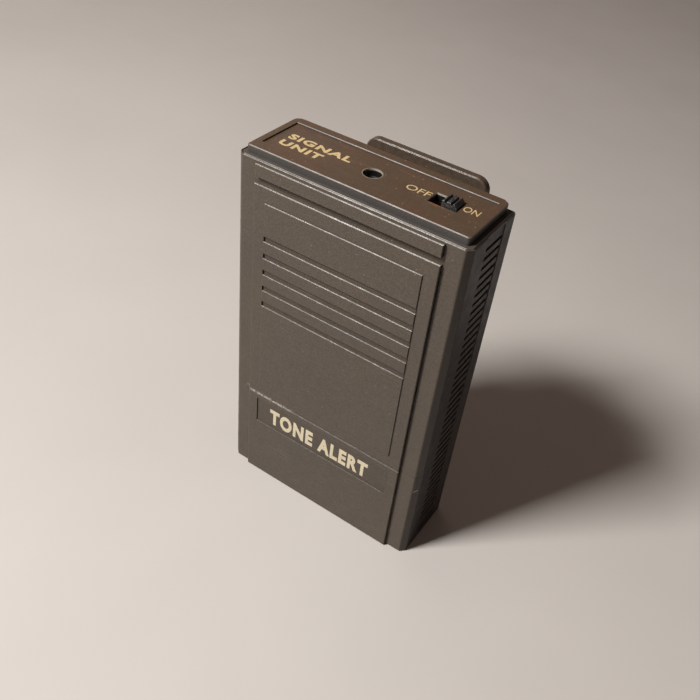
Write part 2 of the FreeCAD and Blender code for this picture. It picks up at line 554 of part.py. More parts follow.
def resistors():
    bodies = []
    for i in range(6):
        body = rod(0.9, 5.6, V(3.5 + (i % 2) * 0.4, BOARD_Y - 1.1, 52.2 + i * 2.35), X_AXIS)
        bodies.append(soften(body, 0.3, lambda e: isinstance(e.Curve, Part.Circle)))
    return group(bodies)


def transistors():
    cases = []
    for x, z in ((-14.5, 87.6), (19.5, 80.5), (13.5, 54.5)):
        body = rod(2.2, 4.6, V(x, BOARD_Y - 1.4, z), V(0, -1, 0))
        cases.append(body.cut(box(x - 3, x + 3, BOARD_Y - 8, BOARD_Y, z + 1.3, z + 3)))
    return group(cases)


def trimmer_capacitor():
    body = rod(2.9, 2.6, V(-3.5, BOARD_Y, 88.5), V(0, -1, 0))
    slot = block((-3.5, BOARD_Y - 2.6, 88.5), (3.4, 1.0, 0.6))
    return body.cut(slot)


# ---------------------------------------------------------------- sounder

SOUNDER_R, SOUNDER_LOW, SOUNDER_TOP = 6.6, 93.6, 98.0


def sounder_case():
    shell = rod(SOUNDER_R, SOUNDER_TOP - SOUNDER_LOW, V(SOUND_X, SOUND_Y, SOUNDER_LOW), Z_AXIS)
    shell = soften(shell, 0.4, lambda e: e.BoundBox.ZMin > SOUNDER_TOP - 0.01)
    chamber = rod(SOUNDER_R - 0.9, 3.2, V(SOUND_X, SOUND_Y, SOUNDER_LOW + 0.35), Z_AXIS)
    port = rod(1.2, 5, V(SOUND_X, SOUND_Y, SOUNDER_TOP - 2), Z_AXIS)
    return shell.cut([chamber, port])


def sounder_disc():
    return rod(SOUNDER_R - 1.1, 0.3, V(SOUND_X, SOUND_Y, SOUNDER_LOW + 0.9), Z_AXIS)


def sounder_gasket():
    ring = rod(4.0, BODY_TOP - 0.15 - SOUNDER_TOP, V(SOUND_X, SOUND_Y, SOUNDER_TOP), Z_AXIS)
    return ring.cut(rod(SOUND_R, 5, V(SOUND_X, SOUND_Y, SOUNDER_TOP - 1), Z_AXIS))


# ---------------------------------------------------------------- batteries and contacts

def battery_cell(z, nub_side):
    """One AA cell along X, with its positive nub towards nub_side (+1 or -1)."""
    can_length = CELL_LENGTH - 1.1
    start = -CELL_LENGTH / 2 if nub_side > 0 else -CELL_LENGTH / 2 + 1.1
    can = rod(CELL_R, can_length, V(start, CELL_Y, z), X_AXIS)
    can = soften(can, 0.5, lambda e: isinstance(e.Curve, Part.Circle))
    nub_start = start + can_length - 0.2 if nub_side > 0 else -CELL_LENGTH / 2
    return can.fuse(rod(2.7, 1.3, V(nub_start, CELL_Y, z), X_AXIS)).removeSplitter()


def positive_contacts():
    """Plates against the nubs; the right-hand one has a tail that climbs to the board."""
    near, far = CELL_LENGTH / 2 + 0.02, CELL_LENGTH / 2 + 0.02 + CONTACT_T
    plates = [box(*sorted((side * near, side * far)), CELL_Y - 4, CELL_Y + 4, z - 4.5, z + 4.5)
              for z, side in zip(CELL_Z, (1, -1))]
    tail_low, tail_front = CELL_Z[0] + 2.0, CELL_Y - 5.4
    tail = [box(near, far, tail_front, CELL_Y - 3.9, tail_low, TAIL_TOP),
            box(near, far, tail_front, BOARD_Y, TAIL_TOP - 1.6, TAIL_TOP)]
    return group([fuse([plates[0]] + tail), plates[1]])


def negative_contacts():
    """Conical springs against the flat end of each cell."""
    springs = []
    for z, side in zip(CELL_Z, (-1, 1)):
        root = side * (INNER_X - CONTACT_T)
        reach = INNER_X - CONTACT_T - CELL_LENGTH / 2
        cone = Part.makeCone(3.4, 2.2, reach - 0.02, V(root, CELL_Y, z), V(-side, 0, 0))
        core = Part.makeCone(2.7, 1.5, reach + 2, V(root + side, CELL_Y, z), V(-side, 0, 0))
        gaps = [box(*sorted((root - side * (0.5 + i * 0.9), root - side * (0.95 + i * 0.9))),
                    CELL_Y - 5, CELL_Y + 2.2, z - 5, z + 5) for i in range(2)]
        wall_x = sorted((side * (INNER_X - CONTACT_T), side * (INNER_X - 0.02)))
        pieces = [cone.cut([core] + gaps), box(*wall_x, CELL_Y - 4, CELL_Y + 4, z - 4.5, z + 4.5)]
        if side > 0:
            pieces.append(box(*wall_x, BOARD_Y - 1.5, BOARD_Y, z + 4, TAIL_TOP))
            pieces.append(box(BOARD_HALF - 1.2, wall_x[1], BOARD_Y - 1.5, BOARD_Y, TAIL_TOP - 0.4, TAIL_TOP))
        springs.append(fuse(pieces))
    return group(springs)


def battery_link():
    """The strip that joins the two cells in series, at their left-hand ends."""
    near, far = -(CELL_LENGTH / 2 + 0.02), -(INNER_X - 0.02)
    y0, y1 = CELL_Y - 1.2, CELL_Y + 1.2
    bend = (CELL_Z[0] + CELL_Z[1]) / 2 + 1.5
    return fuse([box(far, far + CONTACT_T - 0.02, y0, y1, CELL_Z[0] + 4.5, bend + CONTACT_T),
                 box(far, near, y0, y1, bend, bend + CONTACT_T),
                 box(near - CONTACT_T, near, y0, y1, bend, CELL_Z[1] - 4.5)])


def build():
    save("front_shell", front_shell())
    save("rear_shell", rear_shell())
    save("battery_door", battery_door())
    save("front_label_plate", front_label_plate())
    save("top_cap", top_cap())
    save("top_label_plate", top_label_plate())
    save("switch_knob", switch_knob())
    save("switch_frame", switch_frame())
    save("switch_base", switch_base())
    save("switch_terminals", switch_terminals())
    save("belt_clip", belt_clip())
    save("clip_bracket", clip_bracket())
    save("clip_pin", clip_pin())
    save("clip_spring", clip_spring())
    save("clip_screws", clip_screws())
    save("case_screws", case_screws())
    save("board_screws", board_screws())
    save("circuit_board", circuit_board())
    save("antenna_rod", antenna_rod())
    save("antenna_coil", antenna_coil())
    save("antenna_holders", antenna_holders())
    save("receiver_chips", receiver_chips())
    save("chip_leads", chip_leads())
    save("tuning_coils", tuning_coils())
    save("quartz_crystal", quartz_crystal())
    save("ceramic_filter", ceramic_filter())
    save("electrolytic_capacitors", electrolytic_capacitors())
    save("disc_capacitors", disc_capacitors())
    save("resistors", resistors())
    save("transistors", transistors())
    save("trimmer_capacitor", trimmer_capacitor())
    save("sounder_case", sounder_case())
    save("sounder_disc", sounder_disc())
    save("sounder_gasket", sounder_gasket())
    save("battery_cell_lower", battery_cell(CELL_Z[0], 1))
    save("battery_cell_upper", battery_cell(CELL_Z[1], -1))
    save("positive_contacts", positive_contacts())
    save("negative_contacts", negative_contacts())
    save("battery_link", battery_link())


build()
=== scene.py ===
import json
import math

import bmesh
import bpy
from mathutils import Matrix, Vector


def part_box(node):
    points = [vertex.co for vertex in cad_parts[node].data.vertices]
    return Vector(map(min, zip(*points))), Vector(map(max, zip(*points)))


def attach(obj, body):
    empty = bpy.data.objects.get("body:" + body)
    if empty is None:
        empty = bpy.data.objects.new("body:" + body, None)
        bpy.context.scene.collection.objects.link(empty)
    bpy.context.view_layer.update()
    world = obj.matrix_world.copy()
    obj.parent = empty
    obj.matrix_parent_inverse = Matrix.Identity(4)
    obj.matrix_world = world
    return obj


# The looks of a pocket call receiver (pager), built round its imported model.
# Everything is in metres in the model's frame: +Z up, +Y to the back, the front looks along -Y.

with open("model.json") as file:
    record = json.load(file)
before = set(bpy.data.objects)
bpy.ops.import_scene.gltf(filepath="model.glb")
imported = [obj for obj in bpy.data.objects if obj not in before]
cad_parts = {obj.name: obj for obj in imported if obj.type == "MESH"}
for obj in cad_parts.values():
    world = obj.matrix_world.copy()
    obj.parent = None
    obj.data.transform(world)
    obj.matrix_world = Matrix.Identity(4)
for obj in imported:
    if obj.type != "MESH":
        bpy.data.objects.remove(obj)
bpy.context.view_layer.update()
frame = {"nodes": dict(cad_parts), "record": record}
MM = 0.001

# ---- places read from the model, and a few given here ----
CASE_LOW, CASE_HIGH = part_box("rear_shell")
CELL_LOW, CELL_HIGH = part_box("battery_cell_lower")
CENTRE = (CASE_LOW + CASE_HIGH) / 2
SEAM_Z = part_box("battery_door")[1].z                     # the top of the door
CAP_TOP_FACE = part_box("top_cap")[1].z - 0.9 * MM         # lower than this the cap is bare plastic
TOP_PLATE_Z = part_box("top_label_plate")[1].z             # the plate's upper face
FRONT_PLATE_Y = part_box("front_label_plate")[0].y         # the label's front face
SOUND_HOLE, SOUND_HOLE_R = Vector((-0.5, 0.0, 0.0)) * MM, 2.2 * MM
SWITCH_SLOT = Vector((17.75, 0.6, 0.0)) * MM             # the middle of the switch slot
SLOT_HALF_X, SLOT_HALF_Y = 3.48 * MM, 2.23 * MM
NICK = Vector((29.3, -9.7, 25.7)) * MM                   # a nick in the front right corner
ORANGE_STREAK = Vector((16.6, -1.95, TOP_PLATE_Z / MM)) * MM      # an orange-red streak in front of the switch

# ---- camera ----
CAMERA_PLACE = Vector((78.457, -140.280, 188.262)) * MM
CAMERA_AIM = Vector((-0.641, 0.157, 50.394)) * MM
CAMERA_ROLL = math.radians(7.24)
CAMERA_LENS = 42.16

# ---- lights ----
KEY_TRAVEL = Vector((0.36, 0.53, -0.75))
KEY_DISTANCE, KEY_SIZE, KEY_POWER = 0.70, 0.16, 6.8
KEY_COLOUR, FILL_COLOUR = (1.0, 0.97, 0.93), (1.0, 0.80, 0.68)
FILL_TRAVEL = Vector((0.75, -0.62, -0.22))   # a weak light from behind, for the back
FILL_DISTANCE, FILL_SIZE, FILL_POWER = 0.90, 0.60, 0.8
SKY_COLOUR, SKY_TOP, SKY_RIM = (1.0, 0.74, 0.62), 0.140, 0.035
FLOOR_HALF = 2.0                             # metres from the floor's middle to its edge

# ---- lettering ----
INK_HEIGHT = 0.03 * MM
GOLD_LINES = (
    # name, words, left, right, low, high, weight
    ("top_words_upper", "SIGNAL", -24.1, -6.9, 0.2, 2.7, 0.042),
    ("top_words_lower", "UNIT", -24.1, -12.6, -3.5, -1.0, 0.042),
    ("off_mark", "OFF", 7.9, 13.8, -0.4, 1.8, 0.0),
    ("on_mark", "ON", 21.7, 25.4, -0.1, 2.1, 0.0),
)
FRONT_WORDS = ("front_words", "TONE ALERT", -16.9, 15.4, 21.7, 27.2, 0.050)


# ---------------------------------------------------------------- material helper

class Look:
    """One procedural material. Each method adds a node and hands back the socket it gives."""

    def __init__(self, name, roughness, metallic=0.0, specular=0.5):
        self.material = bpy.data.materials.new(name)
        self.material.use_nodes = True
        self.tree = self.material.node_tree
        self.tree.nodes.clear()
        self.shader = self.tree.nodes.new("ShaderNodeBsdfPrincipled")
        surface = self.tree.nodes.new("ShaderNodeOutputMaterial").inputs["Surface"]
        self.tree.links.new(self.shader.outputs["BSDF"], surface)
        self.shader.inputs["Roughness"].default_value = roughness
        self.shader.inputs["Metallic"].default_value = metallic
        self.shader.inputs["Specular IOR Level"].default_value = specular
        self.place = self.tree.nodes.new("ShaderNodeTexCoord").outputs["Object"]

    def feed(self, socket, value):
        if isinstance(value, bpy.types.NodeSocket):
            self.tree.links.new(value, socket)
        else:
            socket.default_value = value

    def add(self, kind, inputs, **settings):
        node = self.tree.nodes.new("ShaderNode" + kind)
        for key, value in settings.items():
            setattr(node, key, value)
        for key, value in inputs.items():
            self.feed(node.inputs[key], value)
        return node

    def stretched(self, stretch, turn=(0, 0, 0)):
        """The place, scaled along each axis, so that a pattern is drawn out."""
        node = self.add("Mapping", {"Vector": self.place, "Scale": stretch, "Rotation": turn})
        return node.outputs["Vector"]

    def noise(self, size, detail=2.0, place=None):
        """Noise whose features are about size metres across, 0 to 1."""
        node = self.add("TexNoise", {"Vector": place or self.place, "Scale": 1 / size, "Detail": detail})
        return node.outputs["Fac"]

    def ramp(self, value, low, high, to_low=0.0, to_high=1.0):
        names = {"Value": value, "From Min": low, "From Max": high, "To Min": to_low, "To Max": to_high}
        return self.add("MapRange", names).outputs["Result"]

    def maths(self, operation, first, second=0.0):
        return self.add("Math", {0: first, 1: second}, operation=operation).outputs["Value"]

    def times(self, first, second):
        return self.maths("MULTIPLY", first, second)

    def away_from(self, value, middle):
        return self.maths("ABSOLUTE", self.maths("SUBTRACT", value, middle))

    def mix(self, factor, first, second):
        node = self.tree.nodes.new("ShaderNodeMix")
        node.data_type = "RGBA"
        self.feed(node.inputs[0], factor)
        self.feed(node.inputs[6], first)
        self.feed(node.inputs[7], second)
        return node.outputs[2]

    def axes(self):
        node = self.add("SeparateXYZ", {"Vector": self.place})
        return node.outputs["X"], node.outputs["Y"], node.outputs["Z"]

    def specks(self, spacing, size, share, up=None):
        """Small round dots in a share of the cells of a random grid. They lie in the plane of X and
        the axis up, or are scattered through the depth if up is left out."""
        place, settings = self.place, {}
        if up:
            split = self.add("SeparateXYZ", {"Vector": self.place}).outputs
            place = self.add("CombineXYZ", {"X": split["X"], "Y": split[up]}).outputs["Vector"]
            settings = {"voronoi_dimensions": "2D"}
        cells = self.add("TexVoronoi", {"Vector": place, "Scale": 1 / spacing}, **settings)
        near = self.ramp(cells.outputs["Distance"], size / spacing, 0.6 * size / spacing)
        chosen = self.add("SeparateColor", {"Color": cells.outputs["Color"]}).outputs["Red"]
        return self.times(near, self.ramp(chosen, 1 - share, 1 - share + 0.01))

    def scratches(self, length, width, turn, share):
        """Hairlines that run one way."""
        drawn = self.stretched((1 / length, 1 / width, 1 / width), turn)
        lines = self.noise(1.0, 1.0, drawn)
        patches = self.ramp(self.noise(7 * MM), 0.5, 0.62)
        return self.times(self.ramp(lines, 1 - share, 1 - share + 0.03), patches)

    def edges(self, radius):
        """How close a point is to an outer edge, 0 to 1."""
        rounded = self.add("Bevel", {"Radius": radius}, samples=6).outputs["Normal"]
        flat = self.add("NewGeometry", {}).outputs["Normal"]
        match = self.add("VectorMath", {0: rounded, 1: flat}, operation="DOT_PRODUCT").outputs["Value"]
        return self.ramp(match, 0.985, 0.90)

    def facing(self, axis):
        """The part of the surface's direction that lies along an axis, -1 to 1."""
        normal = self.tree.nodes.new("ShaderNodeTexCoord").outputs["Normal"]
        return self.add("SeparateXYZ", {"Vector": normal}).outputs[axis]

    def level_breaks(self):
        """Where the surface is a break between an upright face and a level one, 0 to 1."""
        up = self.maths("ABSOLUTE", self.facing("Z"))
        return self.times(self.ramp(up, 0.30, 0.60), self.ramp(up, 0.95, 0.80))

    def left_bevel_highlight(self, reach):
        """Where an upright edge no further out than reach is broken towards the left, the side the key light
        comes from, 0 to 1; it marks a painted highlight.
        """
        left = self.times(self.facing("X"), -1.0)
        band = self.times(self.ramp(left, 0.45, 0.60), self.ramp(left, 0.92, 0.80))
        inside = self.ramp(self.maths("ABSOLUTE", self.axes()[0]), reach + 0.2 * MM, reach)
        return self.times(band, inside)

    def faces_up(self):
        return self.ramp(self.facing("Z"), 0.75, 0.9)

    def faces_aside(self):
        return self.ramp(self.maths("ABSOLUTE", self.facing("X")), 0.35, 0.95)

    def off_axis(self, centre):
        """How far a point is from the upright line through centre."""
        flat = self.add("VectorMath", {0: self.place, 1: (1, 1, 0)}, operation="MULTIPLY").outputs["Vector"]
        return self.add("VectorMath", {0: flat, 1: centre}, operation="DISTANCE").outputs["Value"]

    def streak(self, centre, run, length, width):
        """A straight streak through one point that runs along the direction run."""
        away = self.add("VectorMath", {0: self.place, 1: centre}, operation="SUBTRACT").outputs["Vector"]
        unit = Vector(run).normalized()
        along = self.add("VectorMath", {0: away, 1: unit}, operation="DOT_PRODUCT").outputs["Value"]
        far = self.add("VectorMath", {0: away}, operation="LENGTH").outputs["Value"]
        squared = self.maths("SUBTRACT", self.times(far, far), self.times(along, along))
        across = self.maths("SQRT", self.maths("MAXIMUM", squared, 0.0))
        within = self.ramp(self.maths("ABSOLUTE", along), length, 0.8 * length)
        return self.times(within, self.ramp(across, width, 0.5 * width))

    def colour(self, value):
        self.feed(self.shader.inputs["Base Color"], value)

    def roughness(self, value):
        self.feed(self.shader.inputs["Roughness"], value)

    def bump(self, height, depth):
        normal = self.add("Bump", {"Height": height, "Distance": depth, "Strength": 1.0}).outputs["Normal"]
        self.feed(self.shader.inputs["Normal"], normal)


def tint(colour, factor=1.0):
    return (*(factor * c for c in colour), 1.0)


# ---------------------------------------------------------------- colours

CASE_COLOUR = (0.086, 0.0715, 0.0580)
CASE_PALE = (0.42, 0.39, 0.34)               # bare plastic in nicks and scuffs; also the pale dots painted as glints on the brown paint
FLANK_PAINTED_SHADE = (0.017, 0.012, 0.010)            # painted shade: the flanks made darker and redder, as they face away from the key light
CLIP_COLOUR = (0.078, 0.053, 0.037)
CAP_COLOUR, CAP_BEVEL_HIGHLIGHT = (0.066, 0.058, 0.054), (0.125, 0.100, 0.080)
PLATE_COLOUR, PLATE_RED, PLATE_OLIVE = (0.088, 0.056, 0.036), (0.140, 0.056, 0.028), (0.080, 0.062, 0.038)
FLECK_COLOUR, DUST_COLOUR = (0.42, 0.25, 0.14), (0.30, 0.22, 0.15)
SCRATCH_COLOUR, ORANGE_STREAK_COLOUR = (0.40, 0.33, 0.27), (0.36, 0.11, 0.04)
HOLE_RIM_HIGHLIGHT, CUT_METAL = (0.42, 0.34, 0.26), (0.80, 0.77, 0.72)
KNOB_BLACK, KNOB_DUST, KNOB_EDGE_WEAR_AND_HIGHLIGHT = (0.020, 0.020, 0.022), (0.11, 0.105, 0.10), (0.17, 0.165, 0.16)
GOLD, CREAM = (0.60, 0.45, 0.23), (0.68, 0.59, 0.42)
FLOOR_DARK, FLOOR_PALE = (0.560, 0.530, 0.505), (0.590, 0.560, 0.535)


# ---------------------------------------------------------------- case, cap, plates, knob and inks

POLISH = 0.12                                # how much smoother handled edges are


def grained(look, colour, grain, depth, warmth=(1.10, 1.0, 0.92), polish=POLISH):
    """The moulded grain and uneven tone that every case moulding has."""
    clouds = look.ramp(look.noise(16 * MM, 3.0), 0.3, 0.7)
    pale_grain = look.ramp(look.noise(1.3 * grain, 4.0), 0.30, 0.70, 0.0, 0.50)
    dark_grain = look.ramp(look.noise(0.8 * grain, 2.0), 0.42, 0.58, 0.0, 0.45)
    tone = look.mix(clouds, tint(colour, 0.93), tint([c * w for c, w in zip(colour, warmth)], 1.04))
    tone = look.mix(pale_grain, tone, tint(colour, 1.40))
    tone = look.mix(dark_grain, tone, tint(colour, 0.66))
    rough = look.shader.inputs["Roughness"].default_value
    uneven = look.ramp(look.noise(3 * MM, 5.0), 0.3, 0.7, rough - 0.05, rough + 0.07)
    handled = look.times(look.level_breaks(), look.ramp(look.noise(2.0 * MM, 3.0), 0.3, 0.6, 0.6, 1.0))
    look.roughness(look.maths("SUBTRACT", uneven, look.times(handled, polish)))
    look.bump(look.noise(grain, 3.0), depth)
    return tone


def seam_scuff(look):
    """The ragged pale scuff along the left part of the seam over the battery door, 0 to 1."""
    x, y, z = look.axes()
    at_seam = look.ramp(look.away_from(z, SEAM_Z + 0.1 * MM), 0.75 * MM, 0.15 * MM)
    along = look.times(look.ramp(x, -26 * MM, -24.6 * MM), look.ramp(x, -8 * MM, -12 * MM))
    in_front = look.ramp(y, -9.9 * MM, -10.3 * MM)
    ragged = look.ramp(look.noise(0.7 * MM, 3.0), 0.42, 0.60)
    return look.times(look.times(at_seam, along), look.times(in_front, ragged))


def case_plastic():
    look = Look("case_plastic", 0.42, specular=0.28)
    colour = grained(look, CASE_COLOUR, 0.40 * MM, 0.055 * MM)
    # Painted shade: faces that look sideways get a darker, redder colour, because the flanks face away from
    # the key light.
    colour = look.mix(look.faces_aside(), colour, tint(FLANK_PAINTED_SHADE))
    at_clip = look.ramp(look.axes()[1], CASE_HIGH.y + 2 * MM, CASE_HIGH.y + 3 * MM, 0.0, 0.8)
    mottle = look.ramp(look.noise(1.2 * MM, 4.0), 0.35, 0.65)
    colour = look.mix(at_clip, colour, look.mix(mottle, tint(CLIP_COLOUR, 0.8), tint(CLIP_COLOUR, 1.15)))
    # Lighter outer edges: partly wear, partly a painted highlight on the rounded edges.
    edge_wear_and_highlight = look.times(look.edges(0.25 * MM), look.ramp(look.noise(2.2 * MM, 4.0), 0.45, 0.7))
    colour = look.mix(look.times(edge_wear_and_highlight, 0.35), colour, tint(CASE_COLOUR, 2.2))
    # Painted highlight on the upright bevels that face the key light on the left.
    colour = look.mix(look.times(look.left_bevel_highlight(25 * MM), 0.75), colour, tint(CASE_COLOUR, 2.0))
    nick = look.streak(NICK, (0.5, 0.5, 0.45), 0.80 * MM, 0.17 * MM)
    marks = look.maths("MAXIMUM", look.specks(2.4 * MM, 0.11 * MM, 0.07, "Z"), nick)
    lines = look.scratches(9 * MM, 0.12 * MM, (0.3, 0.5, 0.9), 0.32)
    marks = look.maths("MAXIMUM", marks, look.times(lines, 0.20))
    colour = look.mix(look.times(marks, 0.7), colour, tint(CASE_PALE))
    look.colour(look.mix(look.times(seam_scuff(look), 0.75), colour, tint(CASE_PALE)))
    return look.material


def lacquer(look):
    """The mottled brown paint of the plate and of the cap's top face."""
    clouds = look.ramp(look.noise(9 * MM, 4.0), 0.42, 0.70)
    olive = look.ramp(look.noise(5 * MM, 3.0), 0.45, 0.62, 0.0, 0.5)
    mottle = look.ramp(look.noise(0.45 * MM, 4.0), 0.35, 0.65)
    streaks = look.noise(1.0, 3.0, look.stretched((220, 1500, 1500), (0, 0, 0.25)))
    colour = look.mix(look.times(clouds, 0.30), tint(PLATE_COLOUR), tint(PLATE_RED))
    colour = look.mix(olive, colour, tint(PLATE_OLIVE))
    colour = look.mix(look.times(mottle, 0.50), colour, tint(PLATE_COLOUR, 0.60))
    colour = look.mix(look.ramp(streaks, 0.3, 0.7, 0.0, 0.08), colour, tint(PLATE_COLOUR, 1.9))
    # Flecks, dust and small pale dots; the pale dots are painted glints.
    for spacing, size, share, strength, dot in ((2.3, 0.15, 0.18, 0.80, FLECK_COLOUR),
                                                (0.55, 0.06, 0.20, 0.28, DUST_COLOUR),
                                                (1.1, 0.07, 0.16, 0.50, CASE_PALE)):
        dots = look.specks(spacing * MM, size * MM, share, "Y")
        colour = look.mix(look.times(dots, strength), colour, tint(dot))
    return colour


def cap_plastic():
    look = Look("cap_plastic", 0.42, specular=0.40)
    colour = grained(look, CAP_COLOUR, 0.35 * MM, 0.02 * MM, (1.0, 1.0, 1.0), 0.0)
    x, y, z = look.axes()
    painted = look.times(look.faces_up(), look.ramp(z, CAP_TOP_FACE, CAP_TOP_FACE + 0.05 * MM))
    colour = look.mix(painted, colour, lacquer(look))
    # Painted highlight on the bevels between the cap's upright and level faces.
    colour = look.mix(look.level_breaks(), colour, tint(CAP_BEVEL_HIGHLIGHT))
    soft = 0.02 * MM
    # Painted shade: the inside of the switch slot and of the sound hole is drawn nearly black.
    in_slot = look.times(
        look.ramp(look.away_from(x, SWITCH_SLOT.x), SLOT_HALF_X + soft, SLOT_HALF_X - soft),
        look.ramp(look.away_from(y, SWITCH_SLOT.y), SLOT_HALF_Y + soft, SLOT_HALF_Y - soft))
    in_hole = look.ramp(look.off_axis(SOUND_HOLE), SOUND_HOLE_R + 0.05 * MM, SOUND_HOLE_R - 0.05 * MM)
    colour = look.mix(look.maths("MAXIMUM", in_hole, in_slot), colour, tint(CAP_COLOUR, 0.15))
    # Lighter outer edges: partly wear, partly a painted highlight on the rounded edges.
    edge_wear_and_highlight = look.times(look.edges(0.30 * MM), look.ramp(look.noise(1.6 * MM, 4.0), 0.40, 0.65))
    colour = look.mix(look.times(edge_wear_and_highlight, 0.30), colour, tint(CAP_COLOUR, 2.0))
    lines = look.scratches(6 * MM, 0.10 * MM, (0.0, 0.0, 0.35), 0.33)
    look.colour(look.mix(look.times(lines, 0.25), colour, tint(CASE_PALE)))
    return look.material


def plate_lacquer():
    look = Look("plate_lacquer", 0.40)
    lines = look.scratches(5 * MM, 0.09 * MM, (0.0, 0.0, -0.5), 0.33)
    paint = look.mix(look.times(lines, 0.30), lacquer(look), tint(SCRATCH_COLOUR))
    ragged = look.ramp(look.noise(0.6 * MM, 3.0), 0.40, 0.60, 0.05, 0.5)
    paint = look.mix(look.times(look.streak(ORANGE_STREAK, (1, 0, 0), 2.2 * MM, 0.55 * MM), ragged), paint,
                     tint(ORANGE_STREAK_COLOUR))
    # Painted highlight: a pale ring round the sound hole stands for its lit rim.
    rim_highlight = look.ramp(look.off_axis(SOUND_HOLE), SOUND_HOLE_R + 0.24 * MM, SOUND_HOLE_R + 0.14 * MM, 0.0, 0.55)
    paint = look.mix(rim_highlight, paint, tint(HOLE_RIM_HIGHLIGHT))
    cut_edge = look.maths("SUBTRACT", 1.0, look.faces_up())
    look.colour(look.mix(cut_edge, paint, tint(CUT_METAL)))
    look.feed(look.shader.inputs["Metallic"], look.times(cut_edge, 0.6))
    look.roughness(look.ramp(look.noise(1.8 * MM, 4.0), 0.3, 0.7, 0.34, 0.50))
    look.bump(look.noise(0.35 * MM, 2.0), 0.012 * MM)
    return look.material


def label_foil():
    look = Look("label_foil", 0.50, specular=0.30)
    colour = grained(look, [c * 0.95 for c in CASE_COLOUR], 0.32 * MM, 0.03 * MM)
    marks = look.specks(2.6 * MM, 0.10 * MM, 0.12, "Z")
    look.colour(look.mix(look.times(marks, 0.6), colour, tint(CASE_PALE)))
    return look.material


def knob_plastic():
    look = Look("knob_plastic", 0.34)
    dust = look.ramp(look.noise(0.4 * MM, 4.0), 0.46, 0.66, 0.0, 0.50)
    colour = look.mix(dust, tint(KNOB_BLACK), tint(KNOB_DUST))
    # Lighter edges: partly wear, partly a painted highlight.
    edge_wear_and_highlight = look.times(look.edges(0.18 * MM), 0.5)
    look.colour(look.mix(edge_wear_and_highlight, colour, tint(KNOB_EDGE_WEAR_AND_HIGHLIGHT)))
    look.roughness(look.ramp(look.noise(0.8 * MM, 3.0), 0.3, 0.7, 0.28, 0.46))
    look.bump(look.noise(0.18 * MM, 2.0), 0.015 * MM)
    return look.material


def ink(name, colour, roughness):
    """Screen-printed ink with small bare spots and an uneven film."""
    look = Look(name, roughness)
    film = look.ramp(look.noise(0.6 * MM, 4.0), 0.3, 0.7)
    body = look.mix(film, tint(colour, 0.88), tint(colour, 1.05))
    bare = look.ramp(look.noise(0.25 * MM, 3.0), 0.66, 0.74, 0.0, 0.55)
    look.colour(look.mix(bare, body, tint(PLATE_COLOUR, 1.6)))
    look.bump(look.noise(0.2 * MM, 2.0), 0.008 * MM)
    return look.material


# ---------------------------------------------------------------- metals and inner parts

def metal(name, colour, roughness, brushed=(120, 2600, 2600), stain=0.25, metallic=1.0):
    look = Look(name, roughness, metallic)
    strokes = look.noise(1.0, 2.0, look.stretched(brushed))
    blotches = look.ramp(look.noise(2.2 * MM, 4.0), 0.45, 0.75, 0.0, stain)
    body = look.mix(look.ramp(strokes, 0.3, 0.7), tint(colour, 0.85), tint(colour, 1.05))
    look.colour(look.mix(blotches, body, tint(colour, 0.45)))
    look.roughness(look.ramp(strokes, 0.3, 0.7, roughness - 0.06, roughness + 0.10))
    look.bump(strokes, 0.006 * MM)
    return look.material


def plain(name, colour, roughness, grain, depth, contrast=0.18):
    """A moulded, sintered or dipped material with grain and uneven tone."""
    look = Look(name, roughness)
    tone = look.ramp(look.noise(6 * grain, 4.0), 0.3, 0.7)
    body = look.mix(tone, tint(colour, 1 - contrast), tint(colour, 1 + 2.2 * contrast))
    specks = look.times(look.specks(9 * grain, 0.7 * grain, 0.2), 0.4)
    look.colour(look.mix(specks, body, tint([min(1.0, 2.0 * c + 0.05) for c in colour])))
    look.roughness(look.ramp(look.noise(3 * grain, 3.0), 0.3, 0.7, roughness - 0.06, roughness + 0.08))
    look.bump(look.noise(grain, 3.0), depth)
    return look.material


def wound_wire():
    """Turns of enamelled wire laid side by side round an axis along X."""
    look = Look("copper_wire", 0.32, 0.85)
    x, _y, _z = look.axes()
    phase = look.times(x, 2 * math.pi / (0.32 * MM))
    turns = look.maths("SINE", phase)
    shade = look.ramp(turns, -1, 1)
    look.colour(look.mix(shade, tint((0.25, 0.09, 0.035)), tint((0.72, 0.32, 0.13))))
    look.roughness(look.ramp(look.noise(0.8 * MM, 3.0), 0.3, 0.7, 0.26, 0.42))
    look.bump(shade, 0.08 * MM)
    return look.material


def laminate():
    """Bare board laminate with a fine glass weave under a green-brown resist."""
    look = Look("board_laminate", 0.38)
    x, _y, z = look.axes()
    pitch = 2 * math.pi / (0.55 * MM)
    weave = look.times(look.maths("SINE", look.times(x, pitch)),
                       look.maths("SINE", look.times(z, pitch)))
    body = look.mix(look.ramp(weave, -1, 1), tint((0.26, 0.17, 0.055)), tint((0.36, 0.25, 0.095)))
    patches = look.ramp(look.noise(8 * MM, 4.0), 0.45, 0.6)
    look.colour(look.mix(look.times(patches, 0.25), body, tint((0.20, 0.16, 0.05))))
    look.roughness(look.ramp(look.noise(2 * MM, 3.0), 0.3, 0.7, 0.32, 0.46))
    look.bump(weave, 0.01 * MM)
    return look.material


def striped_resistor():
    """A tan lacquered body with four colour bands across it."""
    look = Look("resistor_body", 0.28)
    x, _y, _z = look.axes()
    body = look.mix(look.ramp(look.noise(1.2 * MM, 3.0), 0.3, 0.7), tint((0.52, 0.36, 0.20)),
                    tint((0.64, 0.47, 0.28)))
    bands = ((4.8, (0.25, 0.10, 0.03)), (5.8, (0.02, 0.02, 0.02)), (6.8, (0.45, 0.04, 0.03)),
             (8.3, (0.55, 0.38, 0.10)))
    for place, paint in bands:
        body = look.mix(look.ramp(look.away_from(x, place * MM), 0.30 * MM, 0.24 * MM), body, tint(paint))
    look.colour(body)
    look.roughness(look.ramp(look.noise(0.7 * MM, 2.0), 0.3, 0.7, 0.22, 0.36))
    look.bump(look.noise(0.4 * MM, 2.0), 0.02 * MM)
    return look.material


